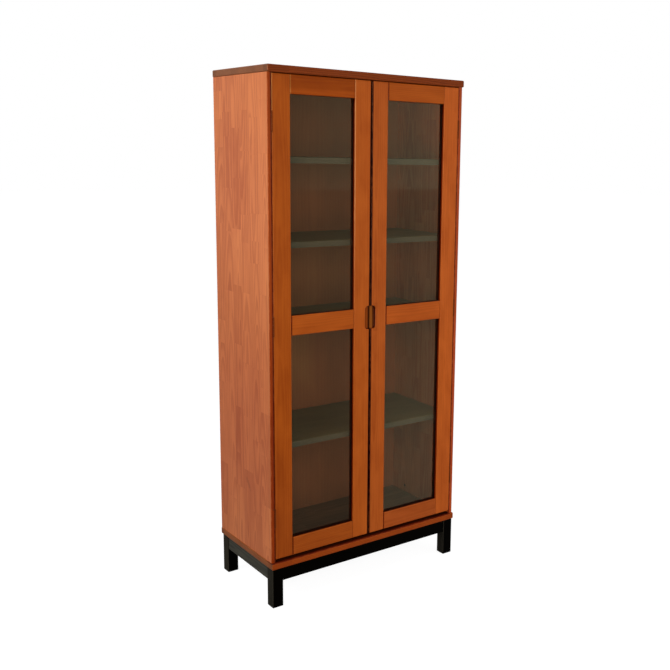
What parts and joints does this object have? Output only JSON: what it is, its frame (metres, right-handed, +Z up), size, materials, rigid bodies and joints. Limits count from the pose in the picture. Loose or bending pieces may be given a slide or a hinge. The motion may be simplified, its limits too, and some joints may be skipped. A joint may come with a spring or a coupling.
{
  "type": "bookcase with glass doors",
  "caption": "Tall wooden bookcase on a low dark base with square legs, closed by a pair of framed glass doors that share a recessed finger pull; dark shelves inside.",
  "frame": {"origin": "on the floor under the middle of the case: centre of the bounding box's bottom", "axes": "+X to the right as seen from the front, +Y to the back (the doors face -Y), +Z up"},
  "size_m": [0.8, 0.4, 1.834],
  "materials": {
    "case_wood": "red-brown stained pine board, satin lacquer",
    "side_wood": "edge-glued finger-jointed pine, light brown stain, satin lacquer",
    "door_wood": "stained solid pine frame members, satin lacquer",
    "back_wood": "stained plywood panel",
    "shelf_wood": "dark brown-black stained board, satin",
    "base_wood": "black stained hardwood, satin",
    "dowel_wood": "plain beech, grooved",
    "door_glass": "clear float glass with a slight smoke tint",
    "hinge_bronze": "dark antique bronze",
    "support_steel": "zinc plated",
    "screw_steel": "zinc plated",
    "cam_zinc": "die-cast zinc alloy, dull",
    "glide_plastic": "black nylon",
    "catch_plastic": "brown moulded housing with magnet"
  },
  "bodies": {
    "carcass": {"back_panel": "back_wood", "back_panel_screws": "screw_steel", "base_dowels": "dowel_wood", "base_rail_back": "base_wood", "base_rail_front": "base_wood", "base_rail_left": "base_wood", "base_rail_right": "base_wood", "base_screws": "screw_steel", "bottom_board": "case_wood", "cam_bolts": "screw_steel", "cam_locks": "cam_zinc", "case_leaf_screws_left": "hinge_bronze", "case_leaf_screws_right": "hinge_bronze", "case_leaves_left": "hinge_bronze", "case_leaves_right": "hinge_bronze", "catch_screws": "screw_steel", "hinge_pins_left": "hinge_bronze", "hinge_pins_right": "hinge_bronze", "leg_back_left": "base_wood", "leg_back_right": "base_wood", "leg_front_left": "base_wood", "leg_front_right": "base_wood", "leg_glides": "glide_plastic", "magnetic_catches": "catch_plastic", "panel_dowels": "dowel_wood", "shelf_lower": "shelf_wood", "shelf_middle": "shelf_wood", "shelf_supports": "support_steel", "shelf_top": "shelf_wood", "shelf_upper": "shelf_wood", "side_panel_left": "side_wood", "side_panel_right": "side_wood", "top_board": "case_wood"},
    "left_door": {"left_bottom_rail": "door_wood", "left_door_leaf_screws": "hinge_bronze", "left_door_leaves": "hinge_bronze", "left_glass_beads": "door_wood", "left_hinge_stile": "door_wood", "left_lower_glass": "door_glass", "left_meeting_stile": "door_wood", "left_mid_rail": "door_wood", "left_strike_plate": "support_steel", "left_strike_screw": "screw_steel", "left_top_rail": "door_wood", "left_upper_glass": "door_glass"},
    "right_door": {"right_bottom_rail": "door_wood", "right_door_leaf_screws": "hinge_bronze", "right_door_leaves": "hinge_bronze", "right_glass_beads": "door_wood", "right_hinge_stile": "door_wood", "right_lower_glass": "door_glass", "right_meeting_stile": "door_wood", "right_mid_rail": "door_wood", "right_strike_plate": "support_steel", "right_strike_screw": "screw_steel", "right_top_rail": "door_wood", "right_upper_glass": "door_glass"}
  },
  "joints": [
    {"name": "left_door_hinge", "type": "hinge", "parent": "carcass", "child": "left_door", "pos_m": [-0.383, -0.192, 0.993], "axis": [0, 0, -1], "range_deg": [0, 170]},
    {"name": "right_door_hinge", "type": "hinge", "parent": "carcass", "child": "right_door", "pos_m": [0.383, -0.192, 0.993], "axis": [0, 0, 1], "range_deg": [0, 170]}
  ]
}
